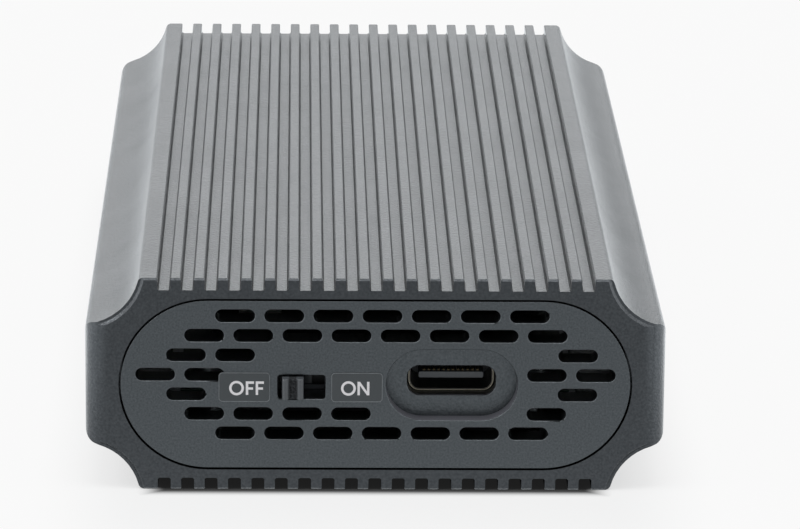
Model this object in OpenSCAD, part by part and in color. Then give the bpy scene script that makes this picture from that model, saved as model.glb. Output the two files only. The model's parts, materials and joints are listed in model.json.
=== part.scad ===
// Pocket enclosure for an M.2 drive: a ribbed extruded tube closed by two flush plates.
// X runs across the body, Y from the port end (low) to the rear, Z up from the lower ribs.

/* [Tube] */
// Width across the two sides
body_w = 59.4; // [50:0.2:80]
// Height over the ribs
body_h = 22.5; // [20:0.5:32]
// Length of the tube
body_l = 115; // [108:1:160]
// Radius of the hollow along each long edge
scoop_r = 6.05; // [5:0.05:6.5]
// How far the hollow's axis lies outside the side
scoop_side = 0.4; // [0.2:0.1:1]
// How far the hollow's axis lies beyond the ribbed face
scoop_face = 1.1; // [0.6:0.1:1.4]
// Rounding where the hollow runs into the side
side_round = 1.2; // [0.6:0.1:2]
// Rounding where the hollow runs into the ribbed face
face_round = 0.6; // [0.4:0.1:1]
// Width of the step round each hollow's mouth
mouth_step = 0.28; // [0.2:0.02:0.3]
// Width and depth of the bevel outside that step
mouth_bevel = 0.28; // [0.2:0.02:0.3]
// Rounding of the four upright edges at the ends
end_round = 2.5; // [1:0.1:3]
// Small bevel on the cut ends of the ribs
end_bevel = 0.2; // [0.1:0.05:0.4]

/* [Ribs] */
// Distance from one groove to the next; as many are cut as the flat face takes
groove_pitch = 2.4; // [2:0.05:3]
// Width of a groove
groove_w = 1.32; // [0.8:0.02:1.5]
// Depth of a groove
groove_d = 1.25; // [0.6:0.05:1.3]
// Bevel at a groove's mouth
groove_bevel = 0.1; // [0.05:0.01:0.2]

/* [Cavity and plates] */
// Wall above and below the cavity, ribs included
flat_wall = 3.05; // [2.6:0.05:3.5]
// Wall at each side of the cavity
side_wall = 4.35; // [3.5:0.05:5]
// How far the seat for a plate is wider than the cavity, each way
seat_step = 0.9; // [0.7:0.05:1.1]
// Gap round a plate in its seat
plate_gap = 0.22; // [0.1:0.02:0.4]
// Thickness of the front plate
front_t = 3.4; // [2.5:0.1:4.5]
// Thickness of the rear plate
rear_t = 2.6; // [2.4:0.1:4]

/* [Vents] */
// Length of a vent slot
slot_l = 4.0; // [2:0.1:4.4]
// Height of a vent slot
slot_h = 1.32; // [0.8:0.02:1.6]
// Distance between slots along a row
slot_pitch = 5.0; // [4.8:0.1:5.2]
// Distance between rows
row_pitch = 2.08; // [1.9:0.02:2.1]
// How far the odd rows are shifted along
odd_shift = 0.65; // [0:0.05:1]
// Height of the middle row of the front plate over the plate's middle
front_rows_up = 1.05; // [0:0.05:1.1]

/* [Port] */
// Place of the port across the plate
port_x = 7.8; // [7:0.1:9]
// Width of the recess round the hole for the plug
recess_land = 2.2; // [1.5:0.1:2.4]
// Depth of the recess
recess_d = 1.7; // [0.5:0.1:2]
// Gap in the plate at each side of the port's shell
port_gap = 0.07; // [0.02:0.01:0.15]
// How far the plate laps over the port's shell above and below
port_lap = 0.06; // [0:0.01:0.1]
// Width over the port's metal shell
usb_w = 8.94; // [8.9:0.01:9]
// Height over the port's metal shell
usb_h = 3.26; // [3.2:0.01:3.3]
// Wall of the port's metal shell
usb_wall = 0.3; // [0.2:0.01:0.35]
// Length of the port's metal shell
usb_l = 7.6; // [7:0.1:9]
// Rounding of the port's corners
usb_round = 1.25; // [1:0.05:1.5]
// Width of the tongue in the port
tongue_w = 6.7; // [6.6:0.01:6.7]
// Thickness of the tongue
tongue_t = 0.7; // [0.6:0.01:0.7]

/* [Switch] */
// Place of the switch window across the plate
switch_x = -7.55; // [-8:0.05:-7]
// Height of the switch below the plate's middle
switch_down = 0.25; // [0:0.05:0.4]
// Width of the knob
knob_w = 2.2; // [1.8:0.05:2.3]
// Height of the knob
knob_h = 2.2; // [1.8:0.05:2.2]
// How far the knob stands out of the plate
knob_proud = 1.0; // [0.3:0.1:1.5]
// Travel of the knob from OFF to ON
knob_travel = 2.0; // [1.5:0.1:2.4]
// Play left over beside the knob in its window
knob_play = 0.6; // [0.4:0.05:0.8]
// Gap above and below the knob, together
knob_gap = 0.35; // [0.2:0.05:0.5]
// Width of the switch's metal frame
switch_w = 8.6; // [8:0.1:9]
// Depth of the switch's metal frame
switch_d = 4.4; // [4:0.1:5]
// Sheet thickness of the switch's metal frame
switch_sheet = 0.25; // [0.2:0.05:0.35]

/* [Labels] */
// Width of a label film
label_w = 5.25; // [4:0.05:5.4]
// Height of a label film
label_h = 3.12; // [2.5:0.01:3.4]
// Thickness of a label film
label_t = 0.08; // [0.05:0.01:0.15]
// Place of the OFF label across the plate
off_x = -13.4; // [-14:0.05:-13]
// Place of the ON label across the plate
on_x = -1.9; // [-2.5:0.05:-1.5]

/* [Carrier and board] */
// Thickness of the carrier's floor
carrier_t = 1.5; // [1.2:0.1:2]
// Gap between the carrier and the cavity's round sides
carrier_gap = 0.15; // [0.1:0.05:0.3]
// Width of the board
board_w = 40; // [38:0.5:41]
// Length of the board
board_l = 100; // [98:0.5:100]
// Thickness of the board
board_t = 1.2; // [0.8:0.1:1.6]
// Gap between the front plate and the board
board_gap = 0.4; // [0.2:0.1:1]
// Distance of the board's screws from its middle line
board_screw_x = 17; // [16:0.5:18]
// Distance of the board's screws from its ends
board_screw_y = 7.5; // [7:0.5:9]
// Distance of the front plate's feet from the middle line
lug_x = 18.4; // [17.5:0.1:18.6]
// Width of those feet
lug_w = 3.0; // [2.6:0.1:3.4]
// Length of those feet
lug_l = 5.0; // [4:0.1:5]
// Height of those feet
lug_h = 2.6; // [2:0.1:2.8]
// Distance of the rear screws from the middle line
rear_screw_x = 21.5; // [20:0.1:22]

/* [Fan] */
// Width and length of the fan
fan_w = 35; // [32:0.5:36]
// Height of the fan
fan_h = 7.5; // [6.5:0.1:8]
// Distance of the fan behind the board's front edge
fan_back = 36; // [34:0.5:40]
// Radius over the blades
blade_r = 13.4; // [12:0.1:13.6]
// Radius of the fan's hub
hub_r = 7.5; // [6.5:0.1:8]
// Number of blades
blade_count = 25; // [11:1:31]
// Radius of the air inlet
inlet_r = 11; // [9:0.1:12]
// Thickness of the fan's floor and cover
fan_wall = 0.8; // [0.6:0.1:1]

/* [Hidden] */
$fn = 64;
eps = 0.01;

// Ends of the tube, with the knob's stand-out shared so that the whole stays centred
front_y = -(body_l - knob_proud) / 2;
rear_y = front_y + body_l;
mid_z = body_h / 2;
flat_half = body_w / 2 + scoop_side
    - sqrt(pow(scoop_r + face_round, 2) - pow(face_round + scoop_face, 2));
groove_side = 1.6;
groove_count = 2 * floor((flat_half - groove_side) / groove_pitch) + 1;
cavity_h = body_h - 2 * flat_wall;
cavity_w = body_w - 2 * side_wall;
seat_h = cavity_h + 2 * seat_step;
seat_w = cavity_w + 2 * seat_step;
front_back_y = front_y + front_t;
rear_front_y = rear_y - rear_t;

// Heights inside, from the port's middle down
usb_z = mid_z;
usb_seat = 0.02;
plug_w = usb_w + 2 * port_gap;
plug_h = usb_h - 2 * port_lap;
recess_w = plug_w + 2 * recess_land;
recess_h = plug_h + 2 * recess_land;
board_top = usb_z - usb_h / 2 - usb_seat;
board_bottom = board_top - board_t;
cavity_floor = mid_z - cavity_h / 2;
carrier_top = cavity_floor + carrier_t;
board_front = front_back_y + board_gap;
board_rear = board_front + board_l;

// Switch
switch_z = mid_z - switch_down;
switch_h = 2 * (switch_z - board_top);
switch_front = front_back_y + 0.1;
window_w = knob_w + knob_travel + knob_play;
window_h = knob_h + knob_gap;
knob_rest_x = switch_x - knob_travel / 2 + 0.1;
stem_w = 1.6;
stem_h = 1.1;
carriage_w = 4.0;
carriage_d = 1.2;

// Fan
fan_y = board_front + fan_back + fan_w / 2;
fan_axis_x = -1;
fan_base = board_top;
fan_top = fan_base + fan_h;
blade_z = fan_base + fan_wall + 0.5;
blade_h = fan_h - 2 * fan_wall - 0.9;
scroll_gap = 1.2;
scroll_grow = 0.8;
outlet_in = 4;
blade_in_r = 9.8;
shaft_r = 0.75;
bush_r = 1.5;
tube_r = 2.25;
fan_screw_off = fan_w / 2 - 2.3;
fan_screw_clear = 2.1;
boss_wall = 0.7;
lead_x = -12;
plug_l = 4;
plug_y = fan_y - fan_w / 2 - 7;

// Drive socket
socket_w = 21.9;
socket_d = 8.0;
socket_h = 3.2;
socket_y = board_front + 13;
card_t = 0.8;
card_drop = 1.1;
post_y = socket_y + 84;

// Screws: shank radius, head radius and head height
m16_r = 0.8;
m16_head_r = 1.4;
m16_head_h = 0.8;
lug_screw_up = 0.5;
m2_r = 1.0;
m2_head_r = 1.9;
m2_head_h = 1.0;
m25_r = 1.25;
m25_head_r = 2.3;
m25_head_h = 1.3;
fit = 0.02;

// Extrudes a section drawn as X across and Z up, from y0 to y1
module along_y(y0, y1) {
    translate([0, y1, 0]) rotate([90, 0, 0]) linear_extrude(height = y1 - y0) children();
}

// A bar with round ends, middle at the origin
module stadium(w, h) {
    square([w - h, h], center = true);
    for (s = [-1, 1]) translate([s * (w - h) / 2, 0]) circle(d = h);
}

// A rectangle with round corners, middle at the origin
module round_rect(w, h, r) {
    square([w - 2 * r, h], center = true);
    square([w, h - 2 * r], center = true);
    for (sx = [-1, 1], sy = [-1, 1])
        translate([sx * (w / 2 - r), sy * (h / 2 - r)]) circle(r = r);
}

// What one long edge loses: the hollow itself and the two corners that its roundings take off.
// The edge's own corner is at the origin, with the body at positive x and y.
module edge_cut() {
    side_y = sqrt(pow(scoop_r + side_round, 2) - pow(side_round + scoop_side, 2)) - scoop_face;
    face_x = sqrt(pow(scoop_r + face_round, 2) - pow(face_round + scoop_face, 2)) - scoop_side;
    axis = [-scoop_side, -scoop_face];
    translate(axis) circle(r = scoop_r, $fn = 96);
    difference() {
        polygon([[side_round, side_y], axis, [-1, 0], [-1, side_y]]);
        translate([side_round, side_y]) circle(r = side_round);
    }
    difference() {
        polygon([[face_x, face_round], [face_x, -1], [0, -1], axis]);
        translate([face_x, face_round]) circle(r = face_round);
    }
}

// One groove, its mouth at the origin and its floor below
module groove() {
    half = groove_w / 2;
    foot = 0.15;
    polygon([
        [-half - groove_bevel - eps, eps], [-half, -groove_bevel], [-half, foot - groove_d],
        [foot - half, -groove_d], [half - foot, -groove_d], [half, foot - groove_d],
        [half, -groove_bevel], [half + groove_bevel + eps, eps]
    ]);
}

// Section of the tube without its cavity
module tube_section() {
    difference() {
        translate([-body_w / 2, 0]) square([body_w, body_h]);
        for (sx = [0, 1], sz = [0, 1])
            translate([0, sz * body_h]) mirror([sx, 0]) mirror([0, sz])
                translate([-body_w / 2, 0]) edge_cut();
        for (i = [0 : groove_count - 1]) {
            x = (i - (groove_count - 1) / 2) * groove_pitch;
            translate([x, body_h]) groove();
            translate([x, 0]) mirror([0, 1]) groove();
        }
    }
}

// The bevelled step where an end mill opens the mouth of each long hollow
module scoop_mouth(y, dir) {
    foot_r = scoop_r + mouth_step;
    for (sx = [-1, 1], sz = [-1, 1])
        translate([sx * (body_w / 2 + scoop_side), y - dir * eps, mid_z + sz * (mid_z + scoop_face)])
            rotate([-90 * dir, 0, 0])
                cylinder(r1 = foot_r + mouth_bevel, r2 = foot_r, h = mouth_bevel, $fn = 96);
}

// Takes the sharp corner off the four upright edges of one end
module end_corners(y, dir) {
    for (sx = [-1, 1])
        difference() {
            translate([sx * body_w / 2 - (sx > 0 ? end_round : 1), dir > 0 ? y - 1 : y - end_round, -1])
                cube([end_round + 1, end_round + 1, body_h + 2]);
            translate([sx * (body_w / 2 - end_round), y + dir * end_round, -2])
                cylinder(r = end_round, h = body_h + 4);
        }
}

// Bevels the cut ends of the ribs
module rib_end_bevel(y) {
    for (z = [0, body_h])
        translate([0, y, z]) rotate([45, 0, 0])
            cube([body_w, end_bevel * sqrt(2), end_bevel * sqrt(2)], center = true);
}

module shell() {
    color("#5b6064")
    difference() {
        along_y(front_y, rear_y) tube_section();
        along_y(front_y - 1, rear_y + 1) translate([0, mid_z]) stadium(cavity_w, cavity_h);
        along_y(front_y - 1, front_back_y) translate([0, mid_z]) stadium(seat_w, seat_h);
        along_y(rear_front_y, rear_y + 1) translate([0, mid_z]) stadium(seat_w, seat_h);
        end_corners(front_y, 1);
        end_corners(rear_y, -1);
        scoop_mouth(front_y, 1);
        scoop_mouth(rear_y, -1);
        rib_end_bevel(front_y);
        rib_end_bevel(rear_y);
    }
}

// Runs of vent slots: row from the top, then the first and last place along the row
front_runs = [[1, -3, 3], [2, -4, 3], [3, -4, -3], [3, 4, 4], [4, -5, -4], [4, 3, 4],
              [5, -4, -4], [5, 4, 4], [6, -4, -1], [6, 3, 3], [7, -3, 3]];
rear_runs = [[1, -3, 3], [2, -4, 3], [3, -3, 3], [4, -3, 2], [5, -3, 3], [6, -4, 3], [7, -3, 3]];

module vents(runs, up, shift) {
    for (run = runs, i = [run[1] : run[2]]) {
        odd = run[0] % 2;
        x = odd == 1 ? i * slot_pitch + shift : (i + 0.5) * slot_pitch;
        translate([x, mid_z + up + (4 - run[0]) * row_pitch]) stadium(slot_l, slot_h);
    }
}

module plate_outline() {
    translate([0, mid_z]) stadium(seat_w - 2 * plate_gap, seat_h - 2 * plate_gap);
}

// Foot behind the front plate that a screw from under the carrier pulls down
module front_lug(sx) {
    along_y(front_back_y - eps, front_back_y + lug_l)
        intersection() {
            translate([sx * lug_x - lug_w / 2, carrier_top]) square([lug_w, lug_h]);
            translate([0, mid_z])
                stadium(cavity_w - 2 * carrier_gap, cavity_h - 2 * carrier_gap);
        }
}

module front_plate() {
    color("#4c5154")
    difference() {
        union() {
            along_y(front_y, front_back_y) plate_outline();
            for (sx = [-1, 1]) front_lug(sx);
        }
        along_y(front_y - 1, front_back_y + 1) vents(front_runs, front_rows_up, odd_shift);
        along_y(front_y - 1, front_y + recess_d)
            translate([port_x, mid_z]) stadium(recess_w, recess_h);
        along_y(front_y - 1, front_back_y + 1)
            translate([port_x, usb_z]) round_rect(plug_w, plug_h, usb_round);
        along_y(front_y - 1, front_back_y + 1)
            translate([switch_x, switch_z]) round_rect(window_w, window_h, 0.3);
        for (sx = [-1, 1])
            translate([sx * lug_x, front_back_y + lug_l / 2, carrier_top - 1])
                cylinder(r = m16_r, h = lug_h + 2);
    }
}

module label(x) {
    along_y(front_y - label_t, front_y) translate([x, switch_z]) round_rect(label_w, label_h, 0.4);
}

module off_label() {
    color("#50555a") label(off_x);
}

module on_label() {
    color("#50555a") label(on_x);
}

// The knob with its two ridges, the stem through the frame and the carriage behind it
module switch_knob() {
    ridge_r = 0.34;
    head_back = switch_front - 0.25;
    color("#2a2c2e") {
        translate([knob_rest_x - knob_w / 2, front_y - knob_proud + ridge_r, switch_z - knob_h / 2])
            cube([knob_w, head_back - front_y + knob_proud - ridge_r, knob_h]);
        for (sx = [-1, 1])
            translate([knob_rest_x + sx * (knob_w / 2 - ridge_r), front_y - knob_proud + ridge_r,
                       switch_z - knob_h / 2])
                cylinder(r = ridge_r, h = knob_h);
        translate([knob_rest_x - stem_w / 2, head_back - eps, switch_z - stem_h / 2])
            cube([stem_w, 0.9, stem_h]);
        translate([knob_rest_x - carriage_w / 2, switch_front + switch_sheet + 0.1,
                   switch_z - switch_h / 2 + 0.4])
            cube([carriage_w, carriage_d, switch_h - 0.8]);
    }
}

// Folded sheet over the switch: front, top and two sides, with the stem's slot
module switch_frame() {
    slot_w = stem_w + knob_travel + 1.0;
    color("#2c2e31")
    translate([switch_x, switch_front, board_top])
    difference() {
        translate([-switch_w / 2, 0, 0]) cube([switch_w, switch_d, switch_h]);
        translate([-switch_w / 2 + switch_sheet, switch_sheet, -1])
            cube([switch_w - 2 * switch_sheet, switch_d, switch_h + 1 - switch_sheet]);
        translate([-slot_w / 2, -1, switch_h / 2 - 0.75]) cube([slot_w, 2, 1.5]);
    }
}

module switch_base() {
    back = switch_front + switch_d;
    front = switch_front + switch_sheet + 0.1 + carriage_d + 0.2;
    color("#1d1e20")
    translate([switch_x - switch_w / 2 + switch_sheet, front, board_top])
        cube([switch_w - 2 * switch_sheet, back - front, switch_h - switch_sheet]);
}

module switch_terminals() {
    color("#c9c3b2")
    for (i = [-1 : 1])
        translate([switch_x + i * 2.5 - 0.3, switch_front + switch_d, board_top])
            cube([0.6, 1.1, 0.35]);
}

// The port's drawn metal shell with its closed back and two side tabs
module usb_shell() {
    color("#a9a59b")
    translate([port_x, 0, usb_z]) {
        difference() {
            along_y(front_back_y, front_back_y + usb_l) round_rect(usb_w, usb_h, usb_round);
            along_y(front_back_y - 1, front_back_y + usb_l - usb_wall)
                round_rect(usb_w - 2 * usb_wall, usb_h - 2 * usb_wall, usb_round - usb_wall);
        }
        for (sx = [-1, 1], y = [1.2, 5.6])
            translate([sx * (usb_w / 2 + 0.15) - 0.35, front_back_y + y, -usb_h / 2 - usb_seat])
                cube([0.7, 1.1, 1.6]);
    }
}

module usb_tongue() {
    inner_h = usb_h - 2 * usb_wall;
    color("#26282a")
    translate([port_x, 0, usb_z]) {
        along_y(front_back_y + 0.4, front_back_y + usb_l - usb_wall - 1.9)
            round_rect(tongue_w, tongue_t, 0.2);
        along_y(front_back_y + usb_l - usb_wall - 1.9 - eps, front_back_y + usb_l - usb_wall)
            round_rect(usb_w - 2 * usb_wall, inner_h, usb_round - usb_wall);
    }
}

module usb_contacts() {
    color("#c9a35a")
    for (i = [0 : 11], s = [-1, 1])
        translate([port_x + (i - 5.5) * 0.5 - 0.13, front_back_y + 1.0,
                   usb_z + s * (tongue_t / 2 + 0.03) - 0.03])
            cube([0.26, 4.2, 0.06]);
}

// Countersunk screw with its head's face at the origin and its tip up the Z axis
module flat_screw(r, head_r, head_h, l) {
    difference() {
        union() {
            cylinder(r = r - fit, h = l);
            cylinder(r1 = head_r, r2 = r - fit, h = head_h);
        }
        translate([0, 0, -eps]) cross_recess(head_r);
    }
}

// Pan-head screw standing head up, the head's underside at the origin
module pan_screw(r, head_r, head_h, l) {
    translate([0, 0, -l]) cylinder(r = r - fit, h = l + eps);
    difference() {
        cylinder(r = head_r, h = head_h);
        translate([0, 0, head_h + eps]) mirror([0, 0, 1]) cross_recess(head_r);
    }
}

module cross_recess(head_r) {
    for (a = [0, 90]) rotate(a)
        translate([-head_r * 0.55, -head_r * 0.13, 0]) cube([head_r * 1.1, head_r * 0.26, 0.6]);
}

module rear_plate() {
    color("#4c5154")
    difference() {
        along_y(rear_front_y, rear_y) plate_outline();
        along_y(rear_front_y - 1, rear_y + 1) vents(rear_runs, 0, 0);
        for (sx = [-1, 1])
            translate([sx * rear_screw_x, rear_y + eps, mid_z]) rotate([90, 0, 0]) {
                cylinder(r = m25_r + 0.1, h = rear_t + 1);
                cylinder(r1 = m25_head_r + 0.1, r2 = m25_r + 0.1, h = m25_head_h);
            }
    }
}

module rear_screws() {
    color("#3a3d40")
    for (sx = [-1, 1])
        translate([sx * rear_screw_x, rear_y - 0.05, mid_z]) rotate([90, 0, 0])
            flat_screw(m25_r, m25_head_r, m25_head_h, 8);
}

// Tray cut to the cavity's own section, with four posts for the board and two blocks at the rear
block_l = 7;
module carrier_section(z0, z1) {
    intersection() {
        translate([-cavity_w / 2, z0]) square([cavity_w, z1 - z0]);
        union() {
            translate([0, mid_z])
                stadium(cavity_w - 2 * carrier_gap, cavity_h - 2 * carrier_gap);
            translate([-(cavity_w - cavity_h) / 2, cavity_floor])
                square([cavity_w - cavity_h, cavity_h / 2]);
        }
    }
}

module board_posts() {
    for (sx = [-1, 1], y = [board_front + board_screw_y, board_rear - board_screw_y])
        translate([sx * board_screw_x, y, 0]) children();
}

module carrier() {
    color("#9da1a4")
    difference() {
        union() {
            along_y(front_back_y + 0.2, rear_front_y) carrier_section(cavity_floor, carrier_top);
            board_posts() translate([0, 0, carrier_top - eps])
                cylinder(r = 2, h = board_bottom - carrier_top + eps);
            for (sx = [-1, 1])
                along_y(rear_front_y - block_l, rear_front_y)
                    intersection() {
                        translate([sx * rear_screw_x - 2.6, carrier_top - eps])
                            square([5.2, mid_z + 2.6 - carrier_top]);
                        carrier_section(cavity_floor, mid_z + 3);
                    }
        }
        board_posts() translate([0, 0, board_bottom - 3]) cylinder(r = m2_r, h = 3 + 1);
        for (sx = [-1, 1]) {
            translate([sx * rear_screw_x, rear_front_y + 1, mid_z]) rotate([90, 0, 0])
                cylinder(r = m25_r, h = block_l);
            translate([sx * lug_x, front_back_y + lug_l / 2, cavity_floor - eps]) {
                cylinder(r = m16_r + 0.1, h = carrier_t + 1);
                cylinder(r1 = m16_head_r + 0.4, r2 = m16_r + 0.1, h = lug_screw_up + m16_head_h);
            }
        }
    }
}

module front_screws() {
    color("#3a3d40")
    for (sx = [-1, 1])
        translate([sx * lug_x, front_back_y + lug_l / 2, cavity_floor + lug_screw_up])
            flat_screw(m16_r, m16_head_r, m16_head_h, 3.4);
}

module main_board() {
    color("#16382c")
    difference() {
        translate([-board_w / 2, board_front, board_bottom]) cube([board_w, board_l, board_t]);
        board_posts() translate([0, 0, board_bottom - 1]) cylinder(r = m2_r + 0.15, h = board_t + 2);
        fan_screw_spots() translate([0, 0, board_bottom - 1]) cylinder(r = m2_r, h = board_t + 2);
        translate([0, post_y, board_bottom - 1]) cylinder(r = 1.6, h = board_t + 2);
    }
}

module board_screws() {
    color("#c4c6c8")
    board_posts() translate([0, 0, board_top]) pan_screw(m2_r, m2_head_r, m2_head_h, 3.6);
}

module bridge_chip() {
    color("#1b1c1e")
    translate([port_x - 5, board_front + 13, board_top]) cube([10, 10, 0.95]);
}

// Small chips, memories and capacitors of the board
module board_parts() {
    color("#232426") {
        translate([-11, board_front + 13, board_top]) cube([5, 4, 1.1]);
        translate([-11, board_front + 20, board_top]) cube([4, 4, 0.9]);
        translate([-6, board_front + 30, board_top]) cube([3, 3, 0.8]);
        translate([15, board_front + 25, board_top]) cube([3, 3, 0.8]);
    }
    color("#b59f7c") {
        for (i = [0 : 5]) translate([-2.5, board_front + 12 + i * 2, board_top]) cube([1.6, 0.8, 0.8]);
        for (i = [0 : 3]) translate([-17, board_front + 12 + i * 2.4, board_top]) cube([2, 1.2, 1.2]);
        for (i = [0 : 4]) translate([-8 + i * 4, board_rear - 10, board_top]) cube([1.6, 0.8, 0.8]);
    }
}

module board_inductors() {
    color("#4a4b4d")
    for (x = [-5.5, 12])
        translate([x, board_rear - 20, board_top]) cube([4, 4, 2]);
}

// Edge socket under the board, its mouth towards the rear
module drive_socket() {
    color("#202124")
    difference() {
        translate([-socket_w / 2, socket_y, board_bottom - socket_h])
            cube([socket_w, socket_d, socket_h]);
        translate([-10, socket_y + 3.8, board_bottom - card_drop - card_t - 0.1])
            cube([20, socket_d, card_t + 0.2]);
        translate([-10, socket_y + 6.4, board_bottom - card_drop - card_t - 0.6])
            cube([20, socket_d, card_t + 1.2]);
    }
}

module socket_contacts() {
    color("#c9a35a")
    for (i = [0 : 32])
        translate([(i - 16) * 0.55 - 0.12, socket_y - 1, board_bottom - 0.2]) cube([0.24, 1, 0.2]);
}

module drive_post() {
    color("#c2a35a")
    difference() {
        union() {
            translate([0, post_y, board_bottom - card_drop]) cylinder(r = 2.6, h = card_drop);
            translate([0, post_y, board_bottom - eps]) cylinder(r = 1.6 - fit, h = board_t);
        }
        translate([0, post_y, board_bottom - 2]) cylinder(r = m2_r, h = 4);
    }
}

module drive_screw() {
    color("#c4c6c8")
    translate([0, post_y, board_bottom - card_drop]) mirror([0, 0, 1]) pan_screw(m2_r, 2.4, 0.7, 2.0);
}

module thermal_pad() {
    color("#8f9aa8")
    translate([-10, socket_y + 12, carrier_top]) cube([20, 66, 0.6]);
}

// Blower: its floor and snail wall are one moulding, open at the rear.
// The snail is a run of quarter circles, each wider than the last by the step between their middles.
module scroll_quarter(n) {
    middle = scroll_grow / 2 * [n == 0 ? -1 : 1, n == 2 ? 1 : -1];
    r = blade_r + scroll_gap + n * scroll_grow;
    translate(middle) intersection() {
        circle(r = r, $fn = 96);
        rotate(90 * (n + 1)) square(r + 1);
    }
}

// A round boss is left in the outlet where the rear screw goes through.
module scroll_space() {
    throat = blade_r + scroll_gap + 2.5 * scroll_grow;
    difference() {
        translate([fan_axis_x, fan_y]) {
            for (n = [0 : 2]) scroll_quarter(n);
            translate(-scroll_grow / 2 * [1, 1]) circle(r = blade_r + scroll_gap, $fn = 96);
            translate([outlet_in, -scroll_grow / 2]) square([throat - outlet_in, fan_w]);
            translate([0, -scroll_grow / 2]) square([throat, scroll_grow]);
        }
        fan_screw_spots() circle(r = fan_screw_clear + boss_wall);
    }
}

module fan_square(h, z) {
    translate([-fan_w / 2, fan_y - fan_w / 2, z]) cube([fan_w, fan_w, h]);
}

module fan_screw_spots() {
    for (s = [-1, 1])
        translate([s * fan_screw_off, fan_y + s * fan_screw_off, 0]) children();
}

module fan_frame() {
    color("#1f2023")
    difference() {
        union() {
            difference() {
                fan_square(fan_h - fan_wall, fan_base);
                translate([0, 0, fan_base + fan_wall]) linear_extrude(height = fan_h)
                    scroll_space();
            }
            translate([fan_axis_x, fan_y, fan_base]) cylinder(r = tube_r, h = 4.3);
        }
        translate([fan_axis_x, fan_y, fan_base + 0.5]) cylinder(r = bush_r, h = fan_h);
        fan_screw_spots() {
            translate([0, 0, fan_base - 1]) cylinder(r = m2_r + 0.1, h = fan_h + 2);
            translate([0, 0, fan_base + 1.6]) cylinder(r = fan_screw_clear, h = fan_h);
        }
    }
}

module fan_cover() {
    color("#26272a")
    difference() {
        fan_square(fan_wall, fan_top - fan_wall);
        translate([fan_axis_x, fan_y, fan_top - 2]) cylinder(r = inlet_r, h = 4, $fn = 96);
        fan_screw_spots() translate([0, 0, fan_top - 2]) cylinder(r = fan_screw_clear, h = 4);
    }
}

// Hub cup, its web ring and the curved blades
module fan_impeller() {
    bend_r = 2.6;
    blade_t = 0.4;
    web_t = 0.6;
    rim_w = 1.1;
    color("#34363a")
    translate([fan_axis_x, fan_y, blade_z]) {
        difference() {
            cylinder(r = hub_r, h = blade_h);
            translate([0, 0, -eps]) cylinder(r = hub_r - 0.8, h = blade_h - 0.8 + eps);
            translate([0, 0, -1]) cylinder(r = shaft_r, h = blade_h + 2);
        }
        difference() {
            cylinder(r = blade_r, h = web_t, $fn = 96);
            translate([0, 0, -1]) cylinder(r = hub_r - 0.4, h = 3);
        }
        translate([0, 0, blade_h - web_t]) difference() {
            cylinder(r = blade_r, h = web_t, $fn = 96);
            translate([0, 0, -1]) cylinder(r = blade_r - rim_w, h = 3, $fn = 96);
        }
        intersection() {
            difference() {
                cylinder(r = blade_r - 0.05, h = blade_h - eps, $fn = 96);
                translate([0, 0, -1]) cylinder(r = blade_in_r, h = blade_h + 2, $fn = 96);
            }
            for (i = [0 : blade_count - 1]) rotate(i * 360 / blade_count)
                translate([(blade_in_r + blade_r) / 2, bend_r, 0])
                    difference() {
                        cylinder(r = bend_r, h = blade_h, $fn = 48);
                        translate([0, 0, -1]) cylinder(r = bend_r - blade_t, h = blade_h + 2, $fn = 48);
                        translate([-bend_r - 1, -0.4, -1])
                            cube([2 * bend_r + 2, 2 * bend_r, blade_h + 2]);
                    }
        }
    }
}

module fan_shaft() {
    color("#c4c6c8")
    translate([fan_axis_x, fan_y, fan_base + 0.7])
        cylinder(r = shaft_r, h = blade_z + blade_h - fan_base - 0.7);
}

module fan_magnet() {
    color("#3b3b3e")
    translate([fan_axis_x, fan_y, blade_z + 0.3])
        difference() {
            cylinder(r = hub_r - 0.8, h = blade_h - 0.8 - 0.3);
            translate([0, 0, -1]) cylinder(r = hub_r - 1.8, h = blade_h);
        }
}

module fan_stator() {
    color("#a5662f")
    translate([fan_axis_x, fan_y, fan_base + fan_wall])
        difference() {
            cylinder(r = hub_r - 2.2, h = 3.2);
            translate([0, 0, -1]) cylinder(r = tube_r, h = 6);
        }
}

module fan_bearing() {
    color("#b08d4a")
    translate([fan_axis_x, fan_y, fan_base + 0.5])
        difference() {
            cylinder(r = bush_r, h = 3.6);
            translate([0, 0, -1]) cylinder(r = shaft_r + 0.03, h = 6);
        }
}

module fan_screws() {
    color("#c4c6c8")
    fan_screw_spots() translate([0, 0, fan_base + 1.6]) pan_screw(m2_r, m2_head_r, m2_head_h, 2.7);
}

// Two short wires from the fan's wall to its plug on the board
module fan_lead() {
    color("#8c1f22")
    for (s = [-1, 1])
        translate([lead_x + s * 0.65, plug_y, board_top + 1.6]) rotate([-90, 0, 0])
            cylinder(r = 0.45, h = fan_y - fan_w / 2 - plug_y);
}

module fan_plug() {
    color("#d8d6cf")
    translate([lead_x - 1.5, plug_y - plug_l, board_top + 0.7]) cube([3, plug_l, 1.8]);
}

module fan_header() {
    color("#e4e2da")
    difference() {
        translate([lead_x - 2.3, plug_y - plug_l - 0.7, board_top]) cube([4.6, plug_l, 3]);
        translate([lead_x - 1.5, plug_y - plug_l, board_top + 0.7]) cube([3, plug_l + 1, 1.8]);
    }
}

shell();
front_plate();
off_label();
on_label();
switch_knob();
switch_frame();
switch_base();
switch_terminals();
usb_shell();
usb_tongue();
usb_contacts();
rear_plate();
rear_screws();
carrier();
front_screws();
main_board();
board_screws();
bridge_chip();
board_parts();
board_inductors();
drive_socket();
socket_contacts();
drive_post();
drive_screw();
thermal_pad();
fan_frame();
fan_cover();
fan_impeller();
fan_shaft();
fan_magnet();
fan_stator();
fan_bearing();
fan_screws();
fan_lead();
fan_plug();
fan_header();
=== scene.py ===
import bpy
import bmesh
import json
import math
import numpy as np
from mathutils import Matrix, Vector


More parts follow.
